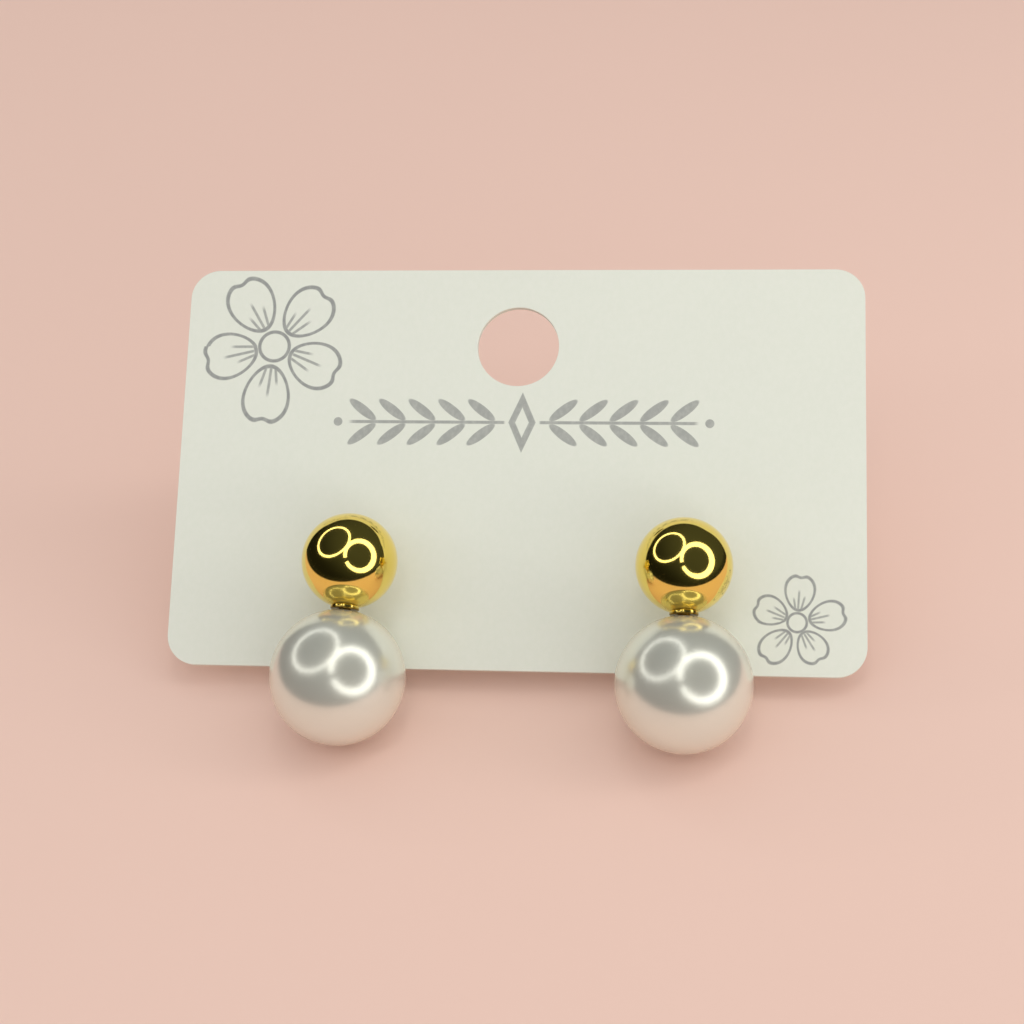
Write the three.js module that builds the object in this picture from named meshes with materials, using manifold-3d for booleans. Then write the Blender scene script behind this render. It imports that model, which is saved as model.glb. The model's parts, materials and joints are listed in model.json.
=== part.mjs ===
// A pair of pearl drop earrings on its display card, in millimetres with +Z up.
// Each earring is a polished ball on a straight ear post, with a larger pearl
// fixed right under the ball on a small cup and peg. Both posts go through the
// card and are held behind it by ear nuts. The card leans back, and everything
// stands on a level surface on the two pearls in front and the two post tips
// behind.

import * as THREE from 'three';
import { mergeVertices } from 'three/addons/utils/BufferGeometryUtils.js';
import Module from 'manifold-3d';

const wasm = await Module();
wasm.setup();

// Driving dimensions. "across" and "up" are places on the card's face, measured
// from the middle of its lower edge.
const CARD = { width: 50, height: 29.8, thickness: 0.5, cornerRadius: 2.15 };
const HANG_HOLE = { across: -0.15, up: 23.9, diameter: 6 };
const POST_HOLE_DIAMETER = 1.6;
const BALL = { diameter: 6.7, up: 6.9 };
const PEARL = { diameter: 9.4, drillDiameter: 1.1, drillDepth: 3.4 };
const POST = { diameter: 0.8, length: 9.5 };
const NOTCH = { fromTip: 1.6, depth: 0.1, floor: 0.2, slope: 0.2 };
const CUP_DIAMETER = 2;
const PEG = { diameter: 0.9, length: 3 };
const NUT = { width: 5.6, height: 4.4, wall: 0.3, rollRadius: 0.95, lipRadius: 0.45, ovalWidth: 6.5 };

// Clearances between pieces that touch on the real object
const SEAT_GAP = 0.1;
const NUT_GAP = 0.2;

// One row for each earring: where its post goes through the card, and how far
// it is turned about the post, in degrees.
const EARRINGS = [
  { side: 'left', across: -10.98, turn: -3.0 },
  { side: 'right', across: 12.26, turn: 0.6 },
];

// Facets: sides of the round shapes, and steps in a quarter turn of an arc
const BALL_SIDES = 40;
const POST_SIDES = 20;
const CUP_SIDES = 32;
const NUT_HOLE_SIDES = 24;
const NUT_OVAL_SIDES = 48;
const QUARTER_STEPS = 6;

// Sizes that follow from the ones above
const ballRadius = BALL.diameter / 2;
const pearlRadius = PEARL.diameter / 2;
const postRadius = POST.diameter / 2;
const pearlDrop = ballRadius + SEAT_GAP + pearlRadius;
const pearlUp = BALL.up - pearlDrop;
// The nut pulls the pearl back until it bears on the card's lower edge, which
// sets how far the middle of the ball stands off the card's face.
const standOff = Math.sqrt((pearlRadius + SEAT_GAP) ** 2 - pearlUp ** 2);
const postReach = ballRadius + POST.length;

const gold = { color: 0xe0b040, metalness: 1, roughness: 0.08 };
const finishes = {
  ball_stud: gold,
  pearl: { color: 0xe9e0d2, metalness: 0, roughness: 0.25 },
  ear_nut: gold,
  display_card: { color: 0xdcdfca, metalness: 0, roughness: 0.85 },
};

function part(kind, name, geometry) {
  const mesh = new THREE.Mesh(geometry, new THREE.MeshStandardMaterial(finishes[kind]));
  mesh.name = name;
  return mesh;
}

// A closed geometry as a solid that can be joined and cut
function solidOf(geometry) {
  const bare = geometry.clone();
  bare.deleteAttribute('normal');
  bare.deleteAttribute('uv');
  const welded = mergeVertices(bare, 1e-4);
  const corners = welded.index.array;
  const faces = [];
  for (let i = 0; i < corners.length; i += 3) {
    const [a, b, c] = corners.slice(i, i + 3);
    if (a !== b && b !== c && c !== a) {
      faces.push(a, b, c);
    }
  }
  return new wasm.Manifold(new wasm.Mesh({
    numProp: 3,
    vertProperties: welded.attributes.position.array,
    triVerts: new Uint32Array(faces),
  }));
}

function geometryOf(solid) {
  const mesh = solid.getMesh();
  const geometry = new THREE.BufferGeometry();
  geometry.setAttribute('position', new THREE.BufferAttribute(mesh.vertProperties, 3));
  geometry.setIndex(new THREE.BufferAttribute(mesh.triVerts, 1));
  geometry.computeVertexNormals();
  return geometry;
}

// Points of an arc as [x, y], with the angles in degrees
function arc(centreX, centreY, radius, from, to, quarterSteps = QUARTER_STEPS) {
  const steps = Math.ceil(Math.abs(to - from) / 90 * quarterSteps);
  const points = [];
  for (let i = 0; i <= steps; i++) {
    const angle = THREE.MathUtils.degToRad(from + (to - from) * i / steps);
    points.push([centreX + radius * Math.cos(angle), centreY + radius * Math.sin(angle)]);
  }
  return points;
}

function vectors(points) {
  return points.map(([x, y]) => new THREE.Vector2(x, y));
}

// A solid of revolution about Y from a profile of [radius, height] points,
// which starts and ends on the axis and climbs on its outer side
function turned(profile, sides) {
  const points = vectors(profile);
  points[0].x = 0;
  points[points.length - 1].x = 0;
  return new THREE.LatheGeometry(points, sides);
}

// The flat card with rounded corners, its hang hole and a hole for each post
function cardGeometry() {
  const right = CARD.width / 2 - CARD.cornerRadius;
  const top = CARD.height - CARD.cornerRadius;
  const low = CARD.cornerRadius;
  const outline = new THREE.Shape(vectors([
    ...arc(right, low, CARD.cornerRadius, -90, 0),
    ...arc(right, top, CARD.cornerRadius, 0, 90),
    ...arc(-right, top, CARD.cornerRadius, 90, 180),
    ...arc(-right, low, CARD.cornerRadius, 180, 270),
  ]));
  const holes = [{ ...HANG_HOLE, quarterSteps: 12 }];
  for (const earring of EARRINGS) {
    holes.push({ across: earring.across, up: BALL.up, diameter: POST_HOLE_DIAMETER, quarterSteps: 5 });
  }
  for (const hole of holes) {
    const rim = arc(hole.across, hole.up, hole.diameter / 2, 360, 0, hole.quarterSteps);
    outline.holes.push(new THREE.Path(vectors(rim.slice(1))));
  }
  const geometry = new THREE.ExtrudeGeometry(outline, { depth: CARD.thickness, bevelEnabled: false });
  return geometry.translate(0, 0, -CARD.thickness);
}

// The ball with its ear post behind and the cup and peg for the pearl below,
// soldered into one solid. The origin is the middle of the ball.
function ballStudGeometry() {
  const ball = new THREE.SphereGeometry(ballRadius, BALL_SIDES, BALL_SIDES / 2);

  const notchMiddle = postReach - NOTCH.fromTip;
  const notchRadius = postRadius - NOTCH.depth;
  const post = turned([
    [0, 0],
    [postRadius, 0],
    [postRadius, notchMiddle - NOTCH.floor / 2 - NOTCH.slope],
    [notchRadius, notchMiddle - NOTCH.floor / 2],
    [notchRadius, notchMiddle + NOTCH.floor / 2],
    [postRadius, notchMiddle + NOTCH.floor / 2 + NOTCH.slope],
    ...arc(0, postReach - postRadius, postRadius, 0, 90),
  ], POST_SIDES);
  post.rotateX(-Math.PI / 2);

  // The cup is dished to follow the top of the pearl
  const cupRadius = CUP_DIAMETER / 2;
  const pegRadius = PEG.diameter / 2;
  const pegReach = ballRadius + SEAT_GAP + PEG.length;
  const seatRadius = pearlRadius + SEAT_GAP;
  const seatAngle = (radius) => THREE.MathUtils.radToDeg(Math.asin(radius / seatRadius)) - 90;
  const cupAndPeg = turned([
    [0, 0],
    [cupRadius, 0],
    ...arc(0, pearlDrop, seatRadius, seatAngle(cupRadius), seatAngle(pegRadius), CUP_SIDES),
    [pegRadius, pegReach],
    [0, pegReach],
  ], CUP_SIDES);
  cupAndPeg.rotateX(Math.PI);

  return geometryOf(solidOf(ball).add(solidOf(post)).add(solidOf(cupAndPeg)));
}

// The half-drilled pearl, with its hole facing up to the peg. The origin is its
// middle.
function pearlGeometry() {
  const drillRadius = PEARL.drillDiameter / 2;
  const rim = THREE.MathUtils.radToDeg(Math.acos(drillRadius / pearlRadius));
  return turned([
    ...arc(0, 0, pearlRadius, -90, rim, BALL_SIDES / 4),
    [drillRadius, pearlRadius - PEARL.drillDepth],
    [0, pearlRadius - PEARL.drillDepth],
  ], BALL_SIDES);
}

// The ear nut: an oval strip with both ends rolled back towards the post. The
// origin is where the post enters it, and it lies behind that, along -Z.
function earNutGeometry() {
  const wall = NUT.wall;
  const rollAt = NUT.width / 2 - NUT.rollRadius - wall / 2;
  const rollMiddle = NUT.rollRadius + wall / 2;
  const lipAt = postRadius + SEAT_GAP + wall / 2 + NUT.lipRadius;
  const lipMiddle = 2 * NUT.rollRadius + wall / 2 - NUT.lipRadius;
  const half = [
    ...arc(rollAt, rollMiddle, NUT.rollRadius + wall / 2, -90, 90),
    ...arc(lipAt, lipMiddle, NUT.lipRadius + wall / 2, 90, 180),
    ...arc(lipAt, lipMiddle, NUT.lipRadius - wall / 2, 180, 90),
    ...arc(rollAt, rollMiddle, NUT.rollRadius - wall / 2, 90, -90),
  ];
  const otherHalf = half.map(([x, depth]) => [-x, depth]).reverse();
  const strip = new THREE.ExtrudeGeometry(
    new THREE.Shape(vectors([...half, ...otherHalf])),
    { depth: NUT.height, bevelEnabled: false },
  );
  strip.translate(0, 0, -NUT.height / 2);
  strip.rotateX(-Math.PI / 2);

  const depth = 2 * NUT.rollRadius + wall;
  const oval = new THREE.CylinderGeometry(1, 1, 4 * depth, NUT_OVAL_SIDES);
  oval.rotateX(Math.PI / 2);
  oval.scale(NUT.ovalWidth / 2, NUT.height / 2, 1);

  const holeRadius = postRadius + SEAT_GAP;
  const hole = new THREE.CylinderGeometry(holeRadius, holeRadius, 4 * depth, NUT_HOLE_SIDES);
  hole.rotateX(Math.PI / 2);

  return geometryOf(solidOf(strip).intersect(solidOf(oval)).subtract(solidOf(hole)));
}

// How far the card is turned up from lying flat, so that the pearls and the
// post tips touch the same level surface
function leanAngle() {
  const up = pearlDrop;
  const forward = postReach - postRadius;
  const higher = pearlRadius - postRadius;
  return Math.acos(higher / Math.hypot(up, forward)) - Math.atan2(up, forward);
}

// One earring with its nut. Its own frame has +Y up the card and +Z away from
// the card's face.
function earring({ side, across, turn }) {
  const group = new THREE.Group();
  group.name = `earring_${side}`;
  group.position.set(across, BALL.up, standOff);
  group.rotation.z = THREE.MathUtils.degToRad(turn);

  const stud = part('ball_stud', `ball_stud_${side}`, ballStudGeometry());
  const pearl = part('pearl', `pearl_${side}`, pearlGeometry());
  pearl.position.y = -pearlDrop;
  const nut = part('ear_nut', `ear_nut_${side}`, earNutGeometry());
  nut.position.z = -(standOff + CARD.thickness + NUT_GAP);
  nut.rotation.z = -group.rotation.z;

  group.add(stud, pearl, nut);
  return group;
}

const leaning = new THREE.Group();
leaning.name = 'leaning_card_and_pair';
leaning.rotation.x = leanAngle();
leaning.add(part('display_card', 'display_card', cardGeometry()));
for (const row of EARRINGS) {
  leaning.add(earring(row));
}

const earringsOnCard = new THREE.Group();
earringsOnCard.name = 'pearl_drop_earrings_on_card';
earringsOnCard.add(leaning);

// The origin is the middle of the bottom of everything
const extent = new THREE.Box3().setFromObject(earringsOnCard, true);
const middle = extent.getCenter(new THREE.Vector3());
leaning.position.set(-middle.x, -middle.y, -extent.min.z);

export default earringsOnCard;
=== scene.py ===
"""A pair of pearl drop earrings, pinned through the display card that they are sold on."""

import json
import math
import bmesh
import bpy
from bpy.props import FloatProperty, FloatVectorProperty, IntProperty, PointerProperty
from mathutils import Matrix, Vector


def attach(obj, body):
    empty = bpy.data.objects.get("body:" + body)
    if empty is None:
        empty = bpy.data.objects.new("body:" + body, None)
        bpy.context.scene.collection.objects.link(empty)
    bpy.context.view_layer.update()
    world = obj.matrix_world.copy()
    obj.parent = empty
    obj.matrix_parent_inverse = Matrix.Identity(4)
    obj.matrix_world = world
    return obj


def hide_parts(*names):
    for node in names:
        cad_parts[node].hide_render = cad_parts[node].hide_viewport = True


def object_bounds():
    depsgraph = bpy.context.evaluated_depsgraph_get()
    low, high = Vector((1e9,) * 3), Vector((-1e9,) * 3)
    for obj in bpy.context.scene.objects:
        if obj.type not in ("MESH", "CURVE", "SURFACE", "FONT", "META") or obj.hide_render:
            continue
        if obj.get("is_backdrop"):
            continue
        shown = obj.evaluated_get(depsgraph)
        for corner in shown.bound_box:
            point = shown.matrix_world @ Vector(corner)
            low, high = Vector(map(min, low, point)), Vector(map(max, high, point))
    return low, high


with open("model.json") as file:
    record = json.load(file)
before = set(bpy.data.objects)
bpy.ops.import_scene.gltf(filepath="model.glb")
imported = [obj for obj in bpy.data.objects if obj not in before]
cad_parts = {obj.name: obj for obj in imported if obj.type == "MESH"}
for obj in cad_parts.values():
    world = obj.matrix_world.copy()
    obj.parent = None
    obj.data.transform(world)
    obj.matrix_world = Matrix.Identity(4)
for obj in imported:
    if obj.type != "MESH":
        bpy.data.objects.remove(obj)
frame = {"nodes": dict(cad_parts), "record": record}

bl_info = {
    "name": "Pearl drop earrings on a card",
    "version": (1, 0, 0),
    "blender": (4, 5, 0),
    "location": "3D View > Sidebar > Earrings",
    "description": "Builds ball studs, fixed pearls and ear nuts on a printed display card",
    "category": "Object",
}

MM = 0.001
MERGE = 0.001 * MM
SIDES = ("left", "right")
Y_AXIS = Vector((0, 1, 0))
Z_AXIS = Vector((0, 0, 1))


# Places on the card

def far_point(node, direction):
    """The point of a node that reaches furthest in a direction."""
    return max((v.co.copy() for v in frame["nodes"][node].data.vertices), key=direction.dot)


def back_mount():
    """The direction that the back of the card faces."""
    mounts = frame["record"]["mounts"]
    return Vector(next(m["axis"] for m in mounts if m["name"] == "card_back"))


ACROSS = Vector((1, 0, 0))
OFF = -back_mount().normalized()
UP = OFF.cross(ACROSS)
CARD_RIGHT = far_point("display_card", ACROSS).dot(ACROSS)
CARD_LEFT = far_point("display_card", -ACROSS).dot(ACROSS)
CARD_TOP = far_point("display_card", UP).dot(UP)
CARD_FOOT = far_point("display_card", -UP).dot(UP)
CARD_FACE = far_point("display_card", OFF).dot(OFF)
CARD_BACK = far_point("display_card", -OFF).dot(OFF)
CARD_ORIGIN = ACROSS * (CARD_LEFT + CARD_RIGHT) / 2 + UP * CARD_FOOT + OFF * CARD_FACE


def placed(x_axis, y_axis, z_axis, origin):
    """The matrix that puts local work in place: its axes and its origin."""
    turn = Matrix((x_axis, y_axis, z_axis)).transposed().to_4x4()
    return Matrix.Translation(origin) @ turn


def card_place():
    """Across the card, up the card and off its face, from the middle of its lower edge."""
    return placed(ACROSS, UP, OFF, CARD_ORIGIN)


def on_card(point):
    """A point in the world as places across, up and off the card."""
    offset = point - CARD_ORIGIN
    return Vector((offset.dot(ACROSS), offset.dot(UP), offset.dot(OFF)))


def post_tip(side):
    return far_point("ball_stud_" + side, -OFF)


def ball_middle(side, ball_radius):
    front = far_point("ball_stud_" + side, OFF).dot(OFF)
    tip = post_tip(side)
    return tip + OFF * (front - ball_radius - tip.dot(OFF))


def earring_place(side, ball_radius):
    """An earring's own axes: its up axis leans with the pearl, from the middle of its ball."""
    middle = ball_middle(side, ball_radius)
    lowest = far_point("pearl_" + side, -UP)
    up = (middle - lowest).normalized()
    return placed(up.cross(OFF), up, OFF, middle)


def pearl_middle(side, settings):
    up = earring_place(side, settings.ball / 2).to_3x3().col[1]
    return far_point("pearl_" + side, -up) + up * settings.pearl / 2


# Drawing and turning profiles

class Outline:
    """A profile in the plane of X and Z, drawn from point to point and then turned or widened."""

    def __init__(self, x, z):
        self.bm = bmesh.new()
        self.end = bmesh.ops.create_vert(self.bm, co=(x, 0, z))["vert"][0]

    def swept(self, **move):
        made = bmesh.ops.spin(self.bm, geom=[self.end], use_duplicate=False, **move)
        self.end = next(g for g in made["geom_last"] if isinstance(g, bmesh.types.BMVert))
        return self

    def line(self, x, z, steps=1):
        """A straight stretch to a point."""
        step = (Vector((x, 0, z)) - self.end.co) / steps
        return self.swept(cent=(0, 0, 0), axis=Y_AXIS, dvec=step, angle=0, steps=steps)

    def arc(self, x, z, degrees, steps):
        """An arc about a middle point. Positive degrees turn from Z towards X."""
        turn = math.radians(degrees)
        return self.swept(cent=(x, 0, z), axis=Y_AXIS, dvec=(0, 0, 0), angle=turn, steps=steps)

    def turned(self, sides, degrees=360):
        """The profile turned about Z, with its poles and its seam closed."""
        full = degrees == 360
        geometry = self.bm.verts[:] + self.bm.edges[:]
        bmesh.ops.spin(self.bm, geom=geometry, cent=(0, 0, 0), axis=Z_AXIS, dvec=(0, 0, 0),
                       angle=math.radians(degrees), steps=sides, use_merge=full)
        return tidied(self.bm)


def tidied(bm):
    """The mesh with doubled points merged and its faces turned outwards."""
    bmesh.ops.remove_doubles(bm, verts=bm.verts[:], dist=MERGE)
    bmesh.ops.dissolve_degenerate(bm, edges=bm.edges[:], dist=MERGE)
    bmesh.ops.recalc_face_normals(bm, faces=bm.faces[:])
    return bm


def work_object(bm):
    mesh = bpy.data.meshes.new("work")
    bm.to_mesh(mesh)
    bm.free()
    obj = bpy.data.objects.new("work", mesh)
    bpy.context.scene.collection.objects.link(obj)
    return obj


def discarded(obj):
    mesh = obj.data
    bpy.data.objects.remove(obj)
    bpy.data.meshes.remove(mesh)


def applied(obj):
    """The mesh that an object's modifiers make. The object itself goes."""
    bpy.context.view_layer.update()
    result = bmesh.new()
    result.from_object(obj, bpy.context.evaluated_depsgraph_get())
    discarded(obj)
    return result


def combined(bm, tool, operation):
    """The first mesh with the tool joined to it or cut out of it."""
    body = work_object(bm)
    cutter = work_object(tool)
    modifier = body.modifiers.new("work", "BOOLEAN")
    modifier.operation = operation
    modifier.solver = "EXACT"
    modifier.object = cutter
    result = applied(body)
    discarded(cutter)
    return result


def sharp_edges(bm, degrees):
    limit = math.radians(degrees)
    return [e for e in bm.edges if len(e.link_faces) == 2 and e.calc_face_angle() > limit]


def rounded(bm, edges, size, segments):
    bmesh.ops.bevel(bm, geom=edges, offset=size, segments=segments, affect="EDGES",
                    profile=0.5, material=-1, clamp_overlap=True)
    return bm


def finished(bm, name, place, material, node, sharp=35):
    """The mesh as a piece that stands for a node, in its place."""
    if name in bpy.data.objects:
        raise RuntimeError(name + " is there already")
    tidied(bm)
    bm.transform(place)
    mesh = bpy.data.meshes.new(name)
    bm.to_mesh(mesh)
    bm.free()
    mesh.shade_smooth()
    mesh.set_sharp_from_angle(angle=math.radians(sharp))
    mesh.materials.append(material)
    piece = bpy.data.objects.new(name, mesh)
    bpy.context.scene.collection.objects.link(piece)
    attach(piece, "root")
    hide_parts(node)
    return piece


# Materials

class Value:
    """A number that a material works out at each point of a surface."""

    def __init__(self, finish, socket):
        self.finish = finish
        self.socket = socket

    def math(self, operation, *others):
        inputs = dict(enumerate((self,) + others))
        return self.finish.node("ShaderNodeMath", {"operation": operation}, inputs)

    def __add__(self, other):
        return self.math("ADD", other)

    __radd__ = __add__

    def __sub__(self, other):
        return self.math("SUBTRACT", other)

    def __rsub__(self, other):
        return self.finish.number(other).math("SUBTRACT", self)

    def __mul__(self, other):
        return self.math("MULTIPLY", other)

    __rmul__ = __mul__

    def __truediv__(self, other):
        return self.math("DIVIDE", other)

    def __abs__(self):
        return self.math("ABSOLUTE")

    def root(self):
        return self.math("SQRT")

    def most(self, other):
        return self.math("MAXIMUM", other)

    def fade(self, start, end):
        """Runs from 0 at start to 1 at end, or the other way round."""
        rising = end > start
        inputs = {"Value": self, "From Min": min(start, end), "From Max": max(start, end),
                  "To Min": 0.0 if rising else 1.0, "To Max": 1.0 if rising else 0.0}
        return self.finish.node("ShaderNodeMapRange", {"interpolation_type": "SMOOTHSTEP"}, inputs)


class Finish:
    """A material with one Principled shader and the nodes that feed it."""

    def __init__(self, name, **constants):
        self.material = bpy.data.materials.new(name)
        self.material.use_nodes = True
        self.tree = self.material.node_tree
        self.shader = self.tree.nodes["Principled BSDF"]
        for socket, value in constants.items():
            self.feed(self.shader.inputs[socket.replace("_", " ")], value)
        coordinates = self.tree.nodes.new("ShaderNodeTexCoord")
        self.place = Value(self, coordinates.outputs["Object"])

    def feed(self, socket, value):
        if isinstance(value, Value):
            self.tree.links.new(value.socket, socket)
        else:
            socket.default_value = value

    def node(self, kind, settings, inputs, output=0):
        """A node of any type: its settings first, then the values or links of its sockets."""
        node = self.tree.nodes.new(kind)
        for name, value in settings.items():
            setattr(node, name, value)
        for name, value in inputs.items():
            self.feed(node.inputs[name], value)
        return Value(self, node.outputs[output])

    def number(self, value):
        node = self.tree.nodes.new("ShaderNodeValue")
        node.outputs[0].default_value = value
        return Value(self, node.outputs[0])

    def along(self, direction, start):
        """How far a point lies along a direction, in millimetres past a start."""
        dot = self.node("ShaderNodeVectorMath", {"operation": "DOT_PRODUCT"},
                        {0: self.place, 1: direction}, "Value")
        return (dot - start) * (1 / MM)

    def noise(self, grain_mm, detail=2.0, roughness=0.5, stretch=None):
        """Cloudy noise between 0 and 1, with grains of about a size."""
        place = self.place
        if stretch is not None:
            place = self.node("ShaderNodeMapping", {}, {"Vector": place, "Scale": stretch})
        return self.node("ShaderNodeTexNoise", {}, {
            "Vector": place, "Scale": 1 / (grain_mm * MM), "Detail": detail, "Roughness": roughness})

    def blend(self, share, first, second):
        """One colour turning into another."""
        return self.node("ShaderNodeMix", {"data_type": "RGBA"}, {0: share, 6: first, 7: second}, 2)

    def relief(self, height, depth_mm, strength=1.0):
        """Raised and sunken detail from a height between 0 and 1."""
        normal = self.node("ShaderNodeBump", {}, {
            "Height": height, "Distance": depth_mm * MM, "Strength": strength})
        self.feed(self.shader.inputs["Normal"], normal)


def opaque(colour):
    return (*colour, 1.0)


# Print on the card: middles across and up its face, and sizes, in millimetres

LARGE_FLOWER = {"centre": (-18.41, 23.88), "reach": 5.6, "turn": 0.42}
SMALL_FLOWER = {"centre": (20.14, 3.8), "reach": 3.35, "turn": 1.03}
LEAF_GARLAND = {"centre": (0.3, 18.15), "half_length": 12.9, "height": 3.4}
PETALS = 5
INK_SOFT = 0.04
# Proportions of a flower, as shares of its reach
HEART = 0.2
PETAL_MIDDLE = 0.63
PETAL_HALF_LENGTH = 0.37
PETAL_HALF_WIDTH = 0.3
NOTCH_WIDTH = 0.09
FLOWER_END = 1.25
# One row for each vein of a petal: its slope and where it ends
VEINS = ((-0.2, 0.6), (0.02, 0.72), (0.22, 0.55))
# Sizes in the garland
GARLAND_SOFT = 0.05
LOZENGE_HALF_WIDTH = 0.75
LOZENGE_LINE = 0.14
STEM_LINE = 0.09
STEM_START = 1.3
LEAF_START = 1.9
LEAF_PITCH = 2.2
LEAF_LEAN = math.radians(38)
END_DOT = 0.3


def flower(across, up, line, centre, reach, turn):
    """How dark the print is for a five-petalled line flower. Sizes in millimetres."""
    x = across - centre[0]
    y = up - centre[1]
    radius = (x * x + y * y).root()
    sector = 2 * math.pi / PETALS
    angle = y.math("ARCTAN2", x) + (turn + 3 * math.pi)
    petal = (angle / sector).math("FLOOR")
    fold = (angle / sector).math("FRACT") * sector - sector / 2
    along = radius * fold.math("COSINE")
    side = radius * fold.math("SINE")
    # Every petal is a little longer or shorter than the next
    grown = (petal * 2.3 + turn).math("SINE") * 0.06 + 1
    length = grown * (PETAL_HALF_LENGTH * reach)
    middle = grown * (PETAL_MIDDLE * reach)
    out = (along - middle) / length
    notch = (side * side * (-1 / (NOTCH_WIDTH * reach) ** 2)).math("EXPONENT") * 0.16
    out = out + notch * out.fade(0.2, 0.9)
    width = (out * 0.18 + 1) * (PETAL_HALF_WIDTH * reach)
    over = side / width
    edge = abs((out * out + over * over).root() - 1) * (0.32 * reach)
    ink = edge.fade(line / 2 + INK_SOFT, line / 2 - INK_SOFT)
    heart = abs(radius - HEART * reach)
    ink = ink * radius.fade(HEART * reach, HEART * reach + 0.05)
    ink = ink.most(heart.fade(line / 2 + INK_SOFT, line / 2 - INK_SOFT))
    for slope, end in VEINS:
        vein = abs(side - along * slope)
        mark = vein.fade(line * 0.4 + INK_SOFT, line * 0.4 - INK_SOFT)
        mark = mark * along.fade((HEART + 0.04) * reach, (HEART + 0.1) * reach)
        mark = mark * along.fade(end * reach, (end - 0.1) * reach)
        ink = ink.most(mark * 0.85)
    return ink * radius.fade(FLOWER_END * reach, (FLOWER_END - 0.05) * reach)


def garland(across, up, centre, half_length, height):
    """How dark the print is for a row of leaf pairs on both sides of a lozenge."""
    x = abs(across - centre[0])
    y = abs(up - centre[1])
    lozenge = abs(x / LOZENGE_HALF_WIDTH + y / (0.5 * height) - 1) * 0.5
    ink = lozenge.fade(LOZENGE_LINE + GARLAND_SOFT, LOZENGE_LINE)
    stem = y.fade(STEM_LINE + GARLAND_SOFT, STEM_LINE)
    stem = stem * x.fade(STEM_START - 0.1, STEM_START + 0.1)
    ink = ink.most(stem * x.fade(half_length, half_length - 0.5))
    cell = ((x - LEAF_START) / LEAF_PITCH).math("FRACT") * LEAF_PITCH - LEAF_PITCH / 2
    lift = y - 0.27 * height
    along = cell * math.cos(LEAF_LEAN) + lift * math.sin(LEAF_LEAN)
    side = lift * math.cos(LEAF_LEAN) - cell * math.sin(LEAF_LEAN)
    long = along / (0.36 * height)
    wide = side / (0.1 * height)
    leaf = (long * long + wide * wide).root().fade(1.1, 0.95)
    leaf = leaf * x.fade(LEAF_START, LEAF_START + 0.05)
    leaf = leaf * x.fade(half_length, half_length - 0.05)
    ink = ink.most(leaf)
    tip = ((x - half_length - 0.7) * (x - half_length - 0.7) + y * y).root()
    return ink.most(tip.fade(END_DOT + GARLAND_SOFT, END_DOT))


CARD_CORE = (0.66, 0.64, 0.57)
PALE_FIBRE = (0.98, 0.98, 0.94)


def card_stock(settings):
    """Coated white card with a grey line print on its face."""
    finish = Finish("coated_card", Specular_IOR_Level=0.35, IOR=1.5)
    across = finish.along(ACROSS, CARD_ORIGIN.dot(ACROSS))
    up = finish.along(UP, CARD_ORIGIN.dot(UP))
    off = finish.along(OFF, CARD_ORIGIN.dot(OFF))
    cloud = finish.noise(6.0, 4.0, 0.6)
    fibre = finish.noise(0.35, 3.0, 0.6, (1.0, 0.35, 1.0))
    tooth = finish.noise(0.09, 2.0)
    paper = finish.blend(cloud, opaque([c * 0.97 for c in settings.card_colour]),
                         opaque(settings.card_colour))
    paper = finish.blend(fibre.fade(0.3, 0.75) * 0.12, paper, opaque(PALE_FIBRE))
    line = settings.print_line / MM
    ink = flower(across, up, line, **LARGE_FLOWER)
    ink = ink.most(flower(across, up, 0.72 * line, **SMALL_FLOWER))
    ink = ink.most(garland(across, up, **LEAF_GARLAND) * 0.85)
    # The print lies on the face alone, and its ink lets a little of the card through
    ink = ink * off.fade(-0.06, -0.02)
    shade = ink * (1 - fibre.fade(0.35, 0.75) * 0.18)
    colour = finish.blend(shade, paper, opaque(settings.print_colour))
    # The cut edge shows the greyer core of the card between its two coated faces
    core = off.fade(-0.02, -0.06) * off.fade(-0.48, -0.42)
    colour = finish.blend(core * 0.35, colour, opaque(CARD_CORE))
    finish.feed(finish.shader.inputs["Base Color"], colour)
    finish.feed(finish.shader.inputs["Roughness"], 0.55 + tooth * 0.18 - shade * 0.08)
    finish.relief(fibre * 0.7 + tooth * 0.3, 0.012, 0.5)
    return finish.material


# How much darker the gold is in patches of its faint haze, and how much darker it is painted as
# shade in the crevice round the cup
DEEP = (0.97, 0.93, 0.82)
CREVICE_SHADE = (0.3, 0.24, 0.16)


def dimmed(colour, shares):
    return opaque([c * share for c, share in zip(colour, shares)])


def gold_plate(settings):
    """Bright polished gold plating with a very faint haze, made once for studs and nuts."""
    if "polished_gold" in bpy.data.materials:
        return bpy.data.materials["polished_gold"]
    finish = Finish("polished_gold", Metallic=1.0, IOR=1.5)
    haze = finish.noise(1.6, 3.0, 0.6)
    hairline = finish.noise(0.14, 3.0, 0.65, (1.0, 0.12, 1.0))
    ripple = finish.noise(0.9, 1.0)
    tint = finish.blend(haze, dimmed(settings.gold_colour, DEEP), opaque(settings.gold_colour))
    seam = finish.node("ShaderNodeAttribute", {"attribute_name": "seam"}, {}, "Fac")
    # Painted shade: the seam mask darkens the gold in the crevice round the cup
    tint = finish.blend(seam, tint, dimmed(settings.gold_colour, CREVICE_SHADE))
    finish.feed(finish.shader.inputs["Base Color"], tint)
    finish.feed(finish.shader.inputs["Roughness"],
                0.06 + haze * 0.05 + hairline.fade(0.6, 0.8) * 0.05 + seam * 0.2)
    finish.relief(hairline * 0.3 + ripple * 0.7, 0.0015, 0.6)
    return finish.material


# The pearl is cooler in places, warmer towards its rim, and has pale flakes
COOL = (0.96, 0.99, 1.03)
WARM_RIM = (1.0, 0.88, 0.8)
PALE_FLAKE = (0.95, 0.93, 0.9)


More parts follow.
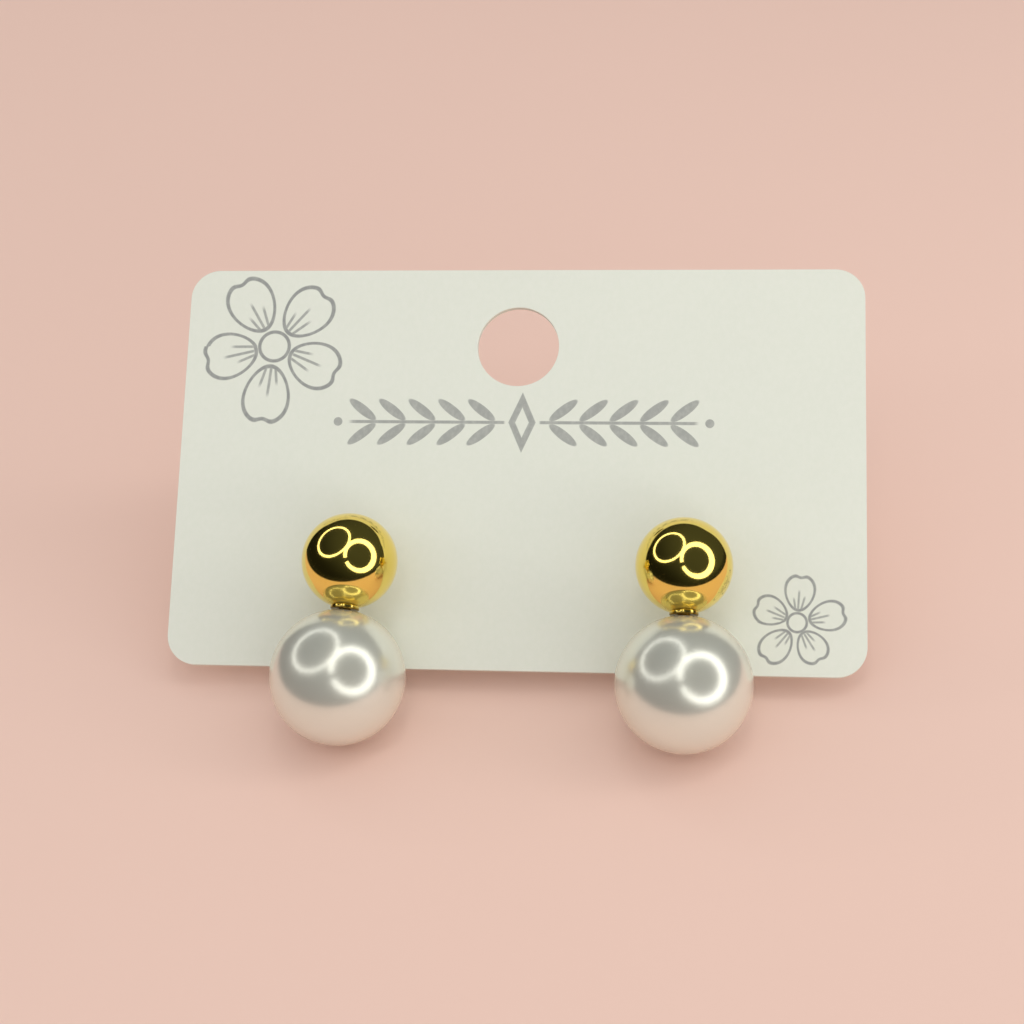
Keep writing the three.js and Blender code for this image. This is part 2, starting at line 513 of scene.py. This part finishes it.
def pearl_coat(settings):
    """Pearl lacquer over a moulded bead: a soft mirror with fine flakes in it."""
    finish = Finish("pearl_lacquer", Metallic=0.55, IOR=1.55, Specular_Tint=opaque(WARM_RIM),
                    Coat_Weight=0.2, Coat_Roughness=0.08)
    flake = finish.noise(0.05, 2.0, 0.7)
    bloom = finish.noise(2.6, 2.0, 0.5)
    tint = finish.blend(bloom, opaque(settings.pearl_colour), dimmed(settings.pearl_colour, COOL))
    tint = finish.blend(flake.fade(0.55, 0.8) * 0.25, tint, opaque(PALE_FLAKE))
    finish.feed(finish.shader.inputs["Base Color"], tint)
    finish.feed(finish.shader.inputs["Roughness"], 0.2 + bloom * 0.05 + flake * 0.04)
    finish.relief(flake * 0.4 + bloom * 0.6, 0.003, 0.5)
    return finish.material


def lit(name, colour, strength):
    """A plain surface that gives off light."""
    material = bpy.data.materials.new(name)
    material.use_nodes = True
    shader = material.node_tree.nodes["Principled BSDF"]
    shader.inputs["Base Color"].default_value = (0, 0, 0, 1)
    shader.inputs["Specular IOR Level"].default_value = 0
    shader.inputs["Emission Color"].default_value = opaque(colour)
    shader.inputs["Emission Strength"].default_value = strength
    return material


# Settings

class CardSettings(bpy.types.PropertyGroup):
    corner_radius: FloatProperty(
        name="Corner radius", description="Radius of the card's four corners",
        default=2.15 * MM, min=0, unit="LENGTH", subtype="DISTANCE")
    hang_hole: FloatProperty(
        name="Hang hole", description="Diameter of the hole that the card hangs by",
        default=6.0 * MM, min=0, unit="LENGTH", subtype="DISTANCE")
    hang_hole_across: FloatProperty(
        name="Hang hole across", description="How far the hang hole is from the middle",
        default=-0.15 * MM, unit="LENGTH", subtype="DISTANCE")
    hang_hole_up: FloatProperty(
        name="Hang hole up", description="Height of the hang hole above the lower edge",
        default=23.9 * MM, unit="LENGTH", subtype="DISTANCE")
    post_hole: FloatProperty(
        name="Post holes", description="Diameter of the holes for the ear posts",
        default=1.6 * MM, min=0, unit="LENGTH", subtype="DISTANCE")
    edge_rounding: FloatProperty(
        name="Edge rounding", description="How far the punch has rounded the cut edges",
        default=0.06 * MM, min=0, unit="LENGTH", subtype="DISTANCE")
    print_line: FloatProperty(
        name="Print line", description="Width of the printed lines of the large flower",
        default=0.25 * MM, min=0, unit="LENGTH", subtype="DISTANCE")
    card_colour: FloatVectorProperty(
        name="Card colour", description="Colour of the coated card",
        default=(0.845, 0.885, 0.8), size=3, min=0, max=1, subtype="COLOR")
    print_colour: FloatVectorProperty(
        name="Print colour", description="Colour of the printed lines",
        default=(0.33, 0.345, 0.34), size=3, min=0, max=1, subtype="COLOR")


class EarringSettings(bpy.types.PropertyGroup):
    ball: FloatProperty(
        name="Ball", description="Diameter of the gold ball",
        default=6.7 * MM, min=0, unit="LENGTH", subtype="DISTANCE")
    post: FloatProperty(
        name="Ear post", description="Diameter of the ear post",
        default=0.8 * MM, min=0, unit="LENGTH", subtype="DISTANCE")
    solder: FloatProperty(
        name="Solder fillet", description="Radius of the solder between ball and post",
        default=0.3 * MM, min=0, unit="LENGTH", subtype="DISTANCE")
    notch: FloatProperty(
        name="Notch depth", description="Depth of the groove that the ear nut clicks into",
        default=0.1 * MM, min=0, unit="LENGTH", subtype="DISTANCE")
    notch_from_tip: FloatProperty(
        name="Notch from tip", description="Distance of the groove from the tip of the post",
        default=1.6 * MM, min=0, unit="LENGTH", subtype="DISTANCE")
    cup: FloatProperty(
        name="Cup", description="Diameter of the small cup that the pearl sits in",
        default=2.0 * MM, min=0, unit="LENGTH", subtype="DISTANCE")
    peg: FloatProperty(
        name="Peg", description="Diameter of the peg that the pearl is glued on",
        default=0.9 * MM, min=0, unit="LENGTH", subtype="DISTANCE")
    pearl: FloatProperty(
        name="Pearl", description="Diameter of the pearl",
        default=9.4 * MM, min=0, unit="LENGTH", subtype="DISTANCE")
    drill: FloatProperty(
        name="Drill hole", description="Diameter of the hole in the pearl",
        default=1.1 * MM, min=0, unit="LENGTH", subtype="DISTANCE")
    drill_depth: FloatProperty(
        name="Drill depth", description="Depth of the hole in the pearl",
        default=3.4 * MM, min=0, unit="LENGTH", subtype="DISTANCE")
    sides: IntProperty(
        name="Sides", description="Sides of the ball and the pearl", default=128, min=16, max=256)
    gold_colour: FloatVectorProperty(
        name="Gold colour", description="Colour of the gold plating",
        default=(0.95, 0.74, 0.19), size=3, min=0, max=1, subtype="COLOR")
    pearl_colour: FloatVectorProperty(
        name="Pearl colour", description="Colour of the pearl lacquer",
        default=(0.84, 0.84, 0.745), size=3, min=0, max=1, subtype="COLOR")


class NutSettings(bpy.types.PropertyGroup):
    width: FloatProperty(
        name="Width", description="Width of the ear nut over its two rolls",
        default=5.6 * MM, min=0, unit="LENGTH", subtype="DISTANCE")
    oval: FloatProperty(
        name="Oval", description="Length of the oval that the strip was stamped to",
        default=6.5 * MM, min=0, unit="LENGTH", subtype="DISTANCE")
    height: FloatProperty(
        name="Height", description="Height of the ear nut at its middle",
        default=4.4 * MM, min=0, unit="LENGTH", subtype="DISTANCE")
    wall: FloatProperty(
        name="Strip", description="Thickness of the metal strip",
        default=0.3 * MM, min=0, unit="LENGTH", subtype="DISTANCE")
    roll: FloatProperty(
        name="Roll radius", description="Radius of the rolls at the middle of the strip",
        default=0.95 * MM, min=0, unit="LENGTH", subtype="DISTANCE")
    lip: FloatProperty(
        name="Lip radius", description="Radius of the lips that grip the post",
        default=0.45 * MM, min=0, unit="LENGTH", subtype="DISTANCE")
    hole: FloatProperty(
        name="Hole", description="Diameter of the hole for the post",
        default=1.0 * MM, min=0, unit="LENGTH", subtype="DISTANCE")


class StageSettings(bpy.types.PropertyGroup):
    lens: FloatProperty(
        name="Lens", description="Focal length of the camera in millimetres",
        default=65, min=10, max=300)
    lamp: FloatProperty(
        name="Ring lamps", description="Brightness of the two ring lamps",
        default=2.5, min=0, max=20)
    fill: FloatProperty(
        name="Soft fill", description="Brightness of the even light from all round",
        default=0.54, min=0, max=5)
    dim: FloatProperty(
        name="Room", description="Brightness of the dim room that the gold mirrors",
        default=0.035, min=0, max=1)
    floor_colour: FloatVectorProperty(
        name="Floor colour", description="Colour of the floor",
        default=(0.93, 0.66, 0.575), size=3, min=0, max=1, subtype="COLOR")


# Pieces

CARD_CORNER_STEPS = 16
HANG_HOLE_SIDES = 96
POST_HOLE_SIDES = 40
NOTCH_RADIUS = 0.5 * MM
CUP_SIDES = 64
CUP_LIP = 0.07 * MM
PEG_CHAMFER = 0.12 * MM
DRILL_RIM = 0.08 * MM
NUT_HOLE_SIDES = 48
NUT_EDGE_ROUNDING = 0.05 * MM
# Round the cup the gold turns rougher and gets painted shade. Both start and are full at these
# depths, as shares of the ball's radius
DULL_SHADE_START = 0.955
DULL_SHADE_FULL = 0.975


class EARRINGS_OT_card(bpy.types.Operator):
    """Build the printed display card with its hang hole and post holes"""

    bl_idname = "earrings.card"
    bl_label = "Display card"

    def execute(self, context):
        settings = context.scene.earring_card
        width = CARD_RIGHT - CARD_LEFT
        height = CARD_TOP - CARD_FOOT
        thickness = CARD_FACE - CARD_BACK
        bm = bmesh.new()
        centred = Matrix.Translation((0, height / 2, 0)) @ Matrix.Diagonal((width, height, 1, 1))
        bmesh.ops.create_grid(bm, x_segments=1, y_segments=1, size=0.5, matrix=centred)
        bmesh.ops.bevel(bm, geom=bm.verts[:], offset=settings.corner_radius,
                        segments=CARD_CORNER_STEPS, affect="VERTICES", profile=0.5, material=-1)
        bmesh.ops.delete(bm, geom=bm.faces[:], context="FACES_ONLY")
        holes = [(settings.hang_hole_across, settings.hang_hole_up, settings.hang_hole,
                  HANG_HOLE_SIDES)]
        for side in SIDES:
            spot = on_card(post_tip(side))
            holes.append((spot.x, spot.y, settings.post_hole, POST_HOLE_SIDES))
        for across, up, diameter, sides in holes:
            bmesh.ops.create_circle(bm, segments=sides, radius=diameter / 2,
                                    matrix=Matrix.Translation((across, up, 0)))
        bmesh.ops.triangle_fill(bm, edges=bm.edges[:], use_beauty=True)
        drawn = bmesh.ops.extrude_face_region(bm, geom=bm.faces[:])["geom"]
        lower = [g for g in drawn if isinstance(g, bmesh.types.BMVert)]
        bmesh.ops.translate(bm, verts=lower, vec=(0, 0, -thickness))
        tidied(bm)
        rounded(bm, sharp_edges(bm, 60), settings.edge_rounding, 3)
        piece = finished(bm, "printed_card", card_place(), card_stock(settings), "display_card",
                         50)
        # The two faces stay flat up to their rounded rims
        flat = {p.index for p in piece.data.polygons if abs(p.normal.dot(OFF)) > 0.999}
        rim = {p.index for p in piece.data.polygons} - flat
        edges_of = {}
        for polygon in piece.data.polygons:
            for key in polygon.edge_keys:
                edges_of.setdefault(key, set()).add(polygon.index)
        for edge in piece.data.edges:
            beside = edges_of[edge.key]
            if beside & flat and beside & rim:
                edge.use_edge_sharp = True
        return {"FINISHED"}


class EARRINGS_OT_studs(bpy.types.Operator):
    """Build the two gold balls with their ear posts and the pegs for the pearls"""

    bl_idname = "earrings.studs"
    bl_label = "Ball studs"

    def execute(self, context):
        settings = context.scene.earring_pair
        ball = settings.ball / 2
        post = settings.post / 2
        solder = settings.solder
        material = gold_plate(settings)
        for side in SIDES:
            place = earring_place(side, ball)
            tip = (post_tip(side) - place.translation).dot(OFF)
            depth = math.sqrt((ball + solder) ** 2 - (post + solder) ** 2)
            lean = math.degrees(math.asin((post + solder) / (ball + solder)))
            notch_half = math.degrees(math.acos(1 - settings.notch / NOTCH_RADIUS))
            notch_width = 2 * NOTCH_RADIUS * math.sin(math.radians(notch_half))
            notch_at = tip + settings.notch_from_tip
            outline = Outline(0, ball)
            outline.arc(0, 0, 180 - lean, settings.sides // 2)
            outline.arc(post + solder, -depth, lean - 90, 10)
            outline.line(post, notch_at + notch_width / 2, 12)
            outline.arc(post - settings.notch + NOTCH_RADIUS, notch_at, -2 * notch_half, 8)
            outline.line(post, tip + post, 2)
            outline.arc(0, tip + post, 90, 10)
            stud = outline.turned(settings.sides)
            stud = combined(stud, self.cup_and_peg(settings, side, place), "UNION")
            # Round the cup the gold is rougher, and its colour is darkened there as painted shade in
            # the crevice between ball and pearl
            seam = stud.verts.layers.float.new("seam")
            for vertex in stud.verts:
                share = (-vertex.co.y / ball - DULL_SHADE_START) / (DULL_SHADE_FULL - DULL_SHADE_START)
                vertex[seam] = min(max(share, 0), 1)
            finished(stud, "gold_stud_" + side, place, material, "ball_stud_" + side)
        return {"FINISHED"}

    def cup_and_peg(self, settings, side, place):
        """The cup that is dished to the pearl, with its peg, below the middle of the ball."""
        cup = settings.cup / 2
        peg = settings.peg / 2
        drop = (pearl_middle(side, settings) - place.translation).length
        seat = drop - settings.ball / 2
        peg_end = (far_point("ball_stud_" + side, -UP) - place.translation).length
        lip_at = cup - CUP_LIP
        lip_height = drop - math.sqrt((seat + CUP_LIP) ** 2 - lip_at ** 2)
        lip_turn = math.degrees(math.asin(lip_at / (seat + CUP_LIP)))
        outline = Outline(0, 0)
        outline.line(cup, 0, 4)
        outline.line(cup, lip_height, 4)
        outline.arc(lip_at, lip_height, -90 - lip_turn, 6)
        outline.arc(0, drop, lip_turn - math.degrees(math.asin(peg / seat)), 8)
        outline.line(peg, peg_end - PEG_CHAMFER)
        outline.line(peg - PEG_CHAMFER, peg_end)
        outline.line(0, peg_end)
        solid = outline.turned(CUP_SIDES)
        solid.transform(Matrix.Rotation(math.radians(90), 4, "X"))
        return solid


class EARRINGS_OT_pearls(bpy.types.Operator):
    """Build the two half-drilled pearls under the balls"""

    bl_idname = "earrings.pearls"
    bl_label = "Pearls"

    def execute(self, context):
        settings = context.scene.earring_pair
        radius = settings.pearl / 2
        drill = settings.drill / 2
        rim_at = drill + DRILL_RIM
        rim_height = math.sqrt((radius - DRILL_RIM) ** 2 - rim_at ** 2)
        rim_turn = math.degrees(math.atan2(rim_at, rim_height))
        material = pearl_coat(settings)
        for side in SIDES:
            across, up, _ = earring_place(side, settings.ball / 2).to_3x3().col
            place = placed(across, -OFF, up, pearl_middle(side, settings))
            outline = Outline(0, radius - settings.drill_depth)
            outline.line(drill, radius - settings.drill_depth)
            outline.line(drill, rim_height, 4)
            outline.arc(rim_at, rim_height, 90 + rim_turn, 6)
            outline.arc(0, 0, 180 - rim_turn, settings.sides // 2)
            pearl = outline.turned(settings.sides)
            finished(pearl, "drop_pearl_" + side, place, material, "pearl_" + side)
        return {"FINISHED"}


class EARRINGS_OT_nuts(bpy.types.Operator):
    """Build the two butterfly ear nuts behind the card"""

    bl_idname = "earrings.nuts"
    bl_label = "Ear nuts"

    def execute(self, context):
        settings = context.scene.earring_nuts
        pair = context.scene.earring_pair
        wall = settings.wall
        roll = settings.roll
        lip = settings.lip
        roll_at = settings.width / 2 - roll - wall / 2
        roll_depth = roll + wall / 2
        lip_at = settings.hole / 2 + wall / 2 + lip
        lip_depth = 2 * roll + wall / 2 - lip
        material = gold_plate(pair)
        for side in SIDES:
            outline = Outline(0, -wall / 2)
            outline.line(roll_at, -wall / 2, 8)
            outline.arc(roll_at, -roll_depth, 180, 24)
            outline.line(lip_at, -2 * roll - wall / 2, 3)
            outline.arc(lip_at, -lip_depth, -90, 8)
            bm = outline.bm
            ends = bm.verts[:] + bm.edges[:]
            step = (0, settings.height / 8, 0)
            bmesh.ops.spin(bm, geom=ends, cent=(0, 0, 0), axis=Y_AXIS, dvec=step, angle=0, steps=8)
            bmesh.ops.translate(bm, verts=bm.verts[:], vec=(0, -settings.height / 2, 0))
            bmesh.ops.mirror(bm, geom=bm.verts[:] + bm.edges[:] + bm.faces[:], axis="X",
                             merge_dist=1e-6)
            tidied(bm)
            # Stamped to an oval before it was rolled
            for vertex in bm.verts:
                vertex.co.y *= math.sqrt(1 - (2 * vertex.co.x / settings.oval) ** 2)
            strip = work_object(bm)
            wall_maker = strip.modifiers.new("wall", "SOLIDIFY")
            wall_maker.thickness = wall
            wall_maker.offset = 0
            bm = applied(strip)
            drill = bmesh.new()
            bmesh.ops.create_cone(drill, cap_ends=True, segments=NUT_HOLE_SIDES,
                                  radius1=settings.hole / 2, radius2=settings.hole / 2,
                                  depth=8 * roll)
            bm = combined(tidied(bm), drill, "DIFFERENCE")
            rounded(bm, sharp_edges(bm, 50), NUT_EDGE_ROUNDING, 2)
            front = far_point("ear_nut_" + side, OFF).dot(OFF)
            tip = post_tip(side)
            place = placed(ACROSS, UP, OFF, tip + OFF * (front - tip.dot(OFF)))
            finished(bm, "butterfly_nut_" + side, place, material, "ear_nut_" + side)
        return {"FINISHED"}


# Sizes and places of the stage, in millimetres from the object's origin

FLOOR_RADIUS = 210
ROOM_START = 62
ROOM_RADIUS = 700
CAMERA_SPOT = (13.92, -102.51, 91.44)
CAMERA_ROLL = -4.13
# Each ring is open for the rest of a full turn, and its inner edge may stand off to one side
RING_LAMPS = (
    {"name": "upper_ring_lamp", "spot": (-112.3, 6.1, 195.8), "radius": 149, "width": 25,
     "turn": 360, "start": 0, "inner_shift": 0},
    {"name": "lower_ring_lamp", "spot": (118.0, -97.2, 152.0), "radius": 150, "width": 60,
     "turn": 342, "start": 26, "inner_shift": 16},
)
LAMP_WHITE = (1.0, 0.99, 0.95)
FILL_WHITE = (1.0, 0.98, 0.95)
ROOM_DARK = (0.33, 0.34, 0.29)
ROOM_LAMP_SIDE = (1.7, 1.9, 1.6)


class EARRINGS_OT_stage(bpy.types.Operator):
    """Set the floor, the soft light and the camera"""

    bl_idname = "earrings.stage"
    bl_label = "Stage"

    def execute(self, context):
        settings = context.scene.earring_stage
        scene = context.scene
        low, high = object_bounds()
        middle = (low + high) / 2

        floor_finish = Finish("floor_paper", Roughness=0.85, Specular_IOR_Level=0.1)
        cloud = floor_finish.noise(40.0, 3.0)
        colour = floor_finish.blend(cloud, opaque([c * 0.985 for c in settings.floor_colour]),
                                    opaque(settings.floor_colour))
        floor_finish.feed(floor_finish.shader.inputs["Base Color"], colour)
        bm = bmesh.new()
        floor_at = Matrix.Translation((0, 0, low.z))
        bmesh.ops.create_circle(bm, cap_ends=True, segments=96, radius=FLOOR_RADIUS * MM,
                                matrix=floor_at)
        self.set_out(bm, "floor", floor_finish.material)

        # Two ring lamps, which the gold and the pearls mirror
        for row in RING_LAMPS:
            name = row["name"]
            spot = Vector(row["spot"]) * MM
            radius = row["radius"] * MM
            half_width = row["width"] / 2 * MM
            outline = Outline(radius - half_width, 0)
            outline.line(radius + half_width, 0)
            ring = outline.turned(72, row["turn"])
            inside = [v for v in ring.verts if v.co.length < radius]
            bmesh.ops.translate(ring, verts=inside, vec=(row["inner_shift"] * MM, 0, 0))
            facing = (middle - spot).to_track_quat("Z", "Y").to_matrix().to_4x4()
            opening = Matrix.Rotation(math.radians(row["start"]), 4, "Z")
            ring.transform(Matrix.Translation(spot) @ facing @ opening)
            lamp = self.set_out(ring, name, lit(name, LAMP_WHITE, settings.lamp))
            lamp.visible_camera = False

        # The dim room beyond the near floor is there for mirrored light alone
        foot = low.z + MM
        room_outline = Outline(ROOM_START * MM, foot)
        room_outline.line(ROOM_RADIUS * MM, foot)
        room_outline.arc(0, foot, -90, 24)
        dim = Finish("dim_room", Base_Color=(0, 0, 0, 1), Specular_IOR_Level=0,
                     Emission_Strength=settings.dim)
        lamp_side = dim.along(Vector((0.6, 0.1, 0.8)), 0).fade(-300, 650)
        dim.feed(dim.shader.inputs["Emission Color"],
                 dim.blend(lamp_side, opaque(ROOM_DARK), opaque(ROOM_LAMP_SIDE)))
        room = self.set_out(room_outline.turned(72), "dim_room", dim.material)
        dim.material.cycles.emission_sampling = "NONE"
        room.visible_camera = False
        room.visible_diffuse = False
        room.visible_transmission = False
        room.visible_volume_scatter = False
        room.visible_shadow = False

        world = bpy.data.worlds.new("soft_fill")
        world.use_nodes = True
        background = world.node_tree.nodes["Background"]
        background.inputs["Color"].default_value = opaque(FILL_WHITE)
        background.inputs["Strength"].default_value = settings.fill
        scene.world = world
        scene.view_settings.view_transform = "Standard"

        camera_data = bpy.data.cameras.new("camera")
        camera_data.lens = settings.lens
        camera_data.clip_start = MM
        camera = bpy.data.objects.new("camera", camera_data)
        scene.collection.objects.link(camera)
        camera.location = Vector(CAMERA_SPOT) * MM
        aim = (middle - camera.location).to_track_quat("-Z", "Y").to_matrix()
        roll = Matrix.Rotation(math.radians(CAMERA_ROLL), 3, "Z")
        camera.rotation_mode = "QUATERNION"
        camera.rotation_quaternion = (aim @ roll).to_quaternion()
        scene.camera = camera
        return {"FINISHED"}

    def set_out(self, bm, name, material):
        mesh = bpy.data.meshes.new(name)
        bm.to_mesh(mesh)
        bm.free()
        mesh.materials.append(material)
        obj = bpy.data.objects.new(name, mesh)
        bpy.context.scene.collection.objects.link(obj)
        obj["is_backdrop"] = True
        return obj


class EARRINGS_PT_panel(bpy.types.Panel):
    """Lists the settings and the steps that build the pair"""

    bl_idname = "EARRINGS_PT_panel"
    bl_label = "Pearl drop earrings"
    bl_space_type = "VIEW_3D"
    bl_region_type = "UI"
    bl_category = "Earrings"

    def draw(self, context):
        for group, operators in STEPS:
            settings = getattr(context.scene, group)
            box = self.layout.box()
            for name in settings.__annotations__:
                box.prop(settings, name)
            for operator in operators:
                box.operator(operator.bl_idname)


GROUPS = (
    ("earring_stage", StageSettings),
    ("earring_card", CardSettings),
    ("earring_pair", EarringSettings),
    ("earring_nuts", NutSettings),
)
STEPS = (
    ("earring_stage", (EARRINGS_OT_stage,)),
    ("earring_card", (EARRINGS_OT_card,)),
    ("earring_pair", (EARRINGS_OT_studs, EARRINGS_OT_pearls)),
    ("earring_nuts", (EARRINGS_OT_nuts,)),
)
OPERATORS = tuple(operator for _, operators in STEPS for operator in operators)


def register():
    for _, group in GROUPS:
        bpy.utils.register_class(group)
    for operator in OPERATORS:
        bpy.utils.register_class(operator)
    bpy.utils.register_class(EARRINGS_PT_panel)
    for name, group in GROUPS:
        setattr(bpy.types.Scene, name, PointerProperty(type=group))


def unregister():
    for name, _ in GROUPS:
        delattr(bpy.types.Scene, name)
    bpy.utils.unregister_class(EARRINGS_PT_panel)
    for operator in reversed(OPERATORS):
        bpy.utils.unregister_class(operator)
    for _, group in reversed(GROUPS):
        bpy.utils.unregister_class(group)


def main():
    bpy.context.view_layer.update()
    register()
    bpy.ops.earrings.stage()
    bpy.ops.earrings.card()
    bpy.ops.earrings.studs()
    bpy.ops.earrings.pearls()
    bpy.ops.earrings.nuts()


if __name__ == "__main__":
    main()
